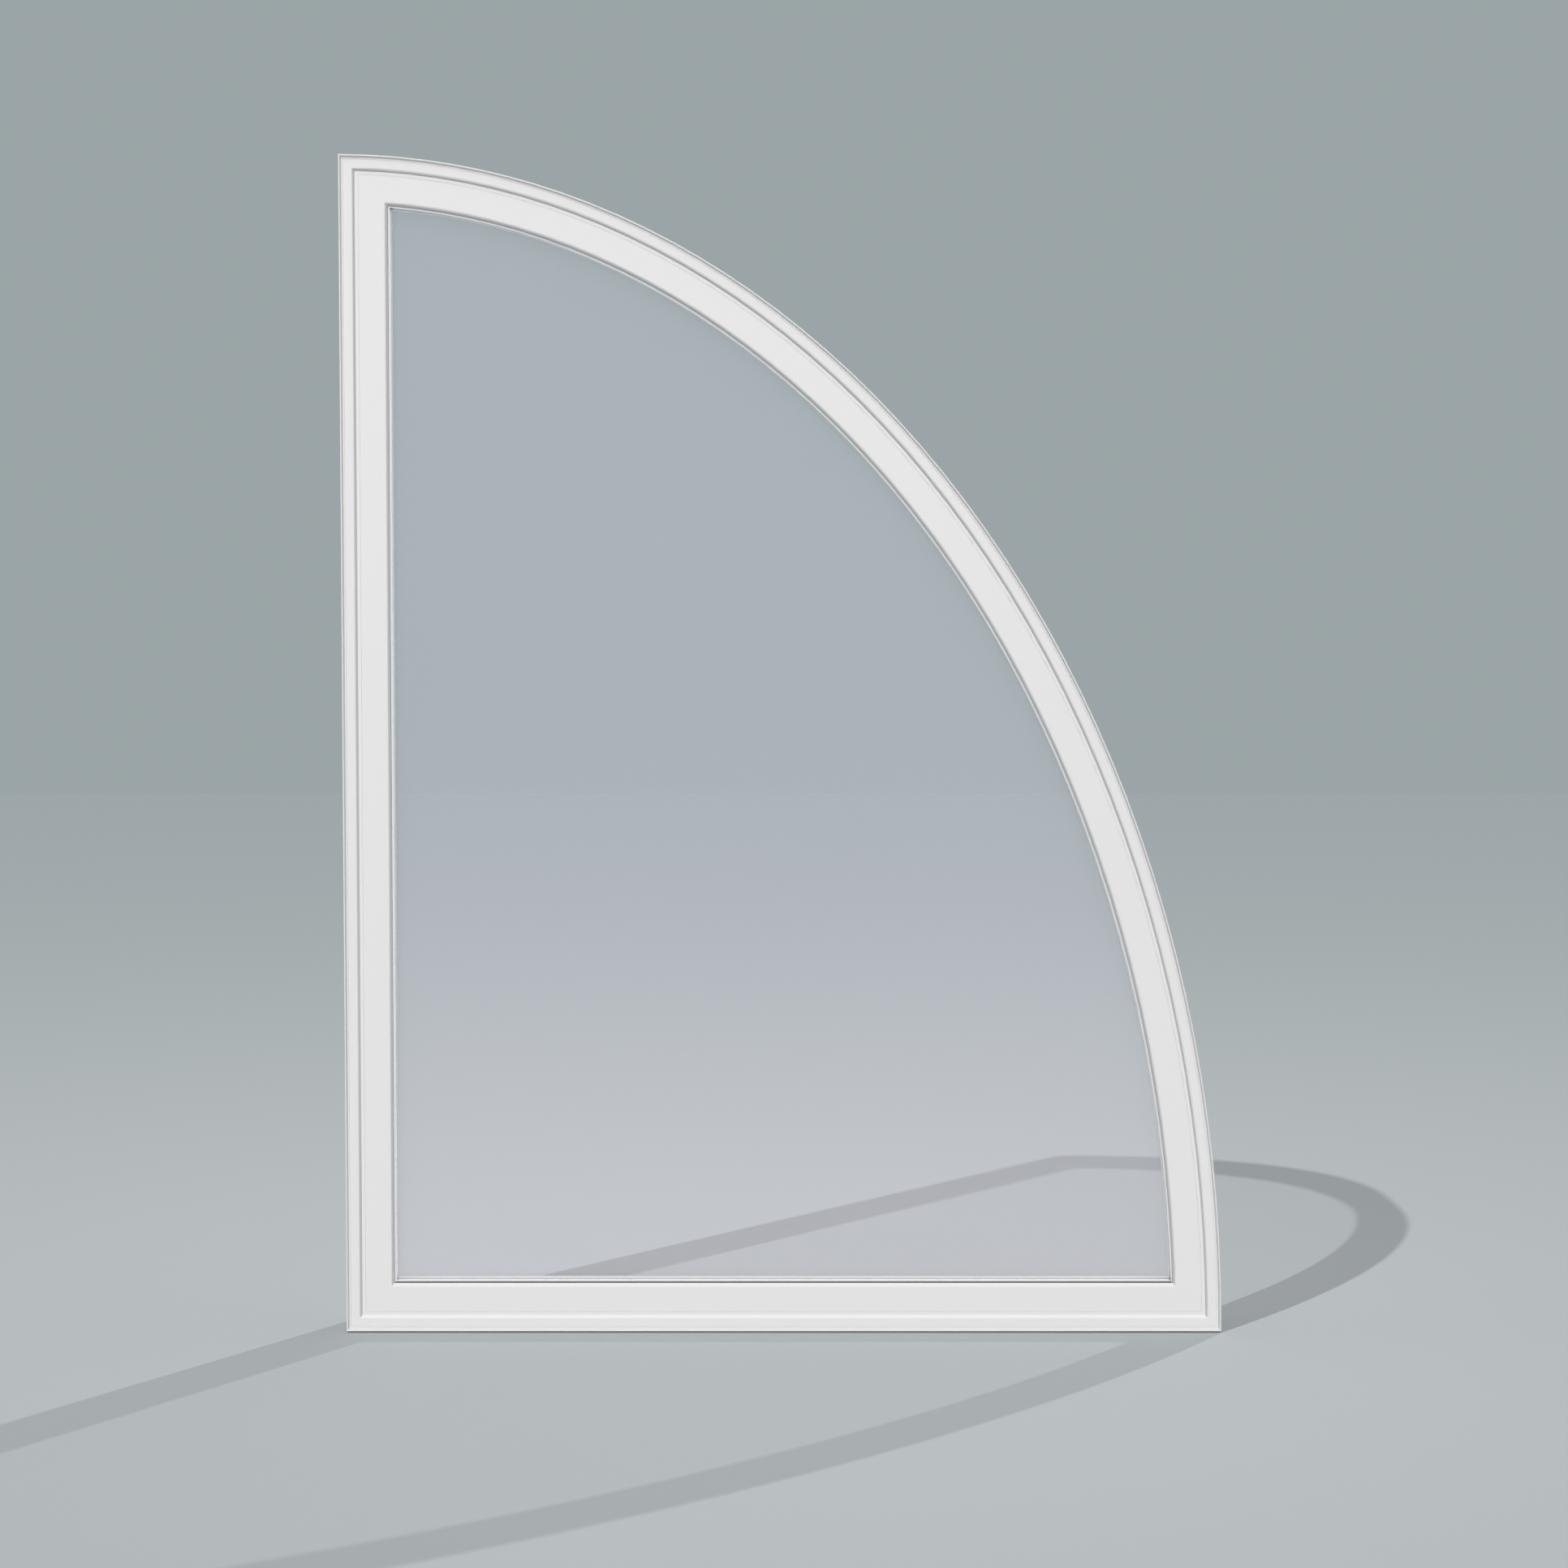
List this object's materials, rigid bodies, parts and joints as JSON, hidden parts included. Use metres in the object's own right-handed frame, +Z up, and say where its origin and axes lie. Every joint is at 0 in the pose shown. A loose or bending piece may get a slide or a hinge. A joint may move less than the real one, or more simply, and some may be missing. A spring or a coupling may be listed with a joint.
{
  "type": "fixed quarter ellipse window",
  "caption": "Fixed window in the shape of a quarter ellipse, with a mitred clad-timber frame and sash round a sealed double glass unit.",
  "frame": {"origin": "middle of the underside of the sill, halfway through the depth of the frame", "axes": "+Z up, +X along the sill from the straight jamb to the toe of the curve, -Y the weather side, +Y the room side"},
  "size_m": [1.2192, 0.0826, 1.6256],
  "materials": {
    "cladding": "white powder coat, satin, very fine orange peel",
    "timber": "softwood painted white, satin, faint brush marks along the length",
    "bead": "white glazing bead, smooth extrusion",
    "gasket": "black extruded gasket",
    "seal": "white extruded joint seal",
    "glass": "clear float glass with a slight blue-grey veil",
    "spacer": "grey foam spacer with sealant",
    "tape": "pale grey closed-cell glazing tape",
    "block": "hard rubber setting block"
  },
  "bodies": {
    "root": {"sill_cladding": "cladding", "side_jamb_cladding": "cladding", "curved_head_cladding": "cladding", "bottom_rail_cladding": "cladding", "side_stile_cladding": "cladding", "curved_rail_cladding": "cladding", "sill": "timber", "side_jamb": "timber", "curved_head": "timber", "bottom_rail": "timber", "side_stile": "timber", "curved_rail": "timber", "bottom_sash_stop": "timber", "side_sash_stop": "timber", "curved_sash_stop": "timber", "bottom_glazing_stop": "timber", "side_glazing_stop": "timber", "curved_glazing_stop": "timber", "bottom_glazing_bead": "bead", "side_glazing_bead": "bead", "curved_glazing_bead": "bead", "bottom_gasket": "gasket", "bottom_joint_seal": "seal", "side_joint_seal": "seal", "curved_joint_seal": "seal", "outer_pane": "glass", "inner_pane": "glass", "bottom_spacer": "spacer", "side_spacer": "spacer", "curved_spacer": "spacer", "bottom_glazing_tape": "tape", "side_glazing_tape": "tape", "curved_glazing_tape": "tape", "left_setting_block": "block", "right_setting_block": "block"}
  },
  "joints": []
}
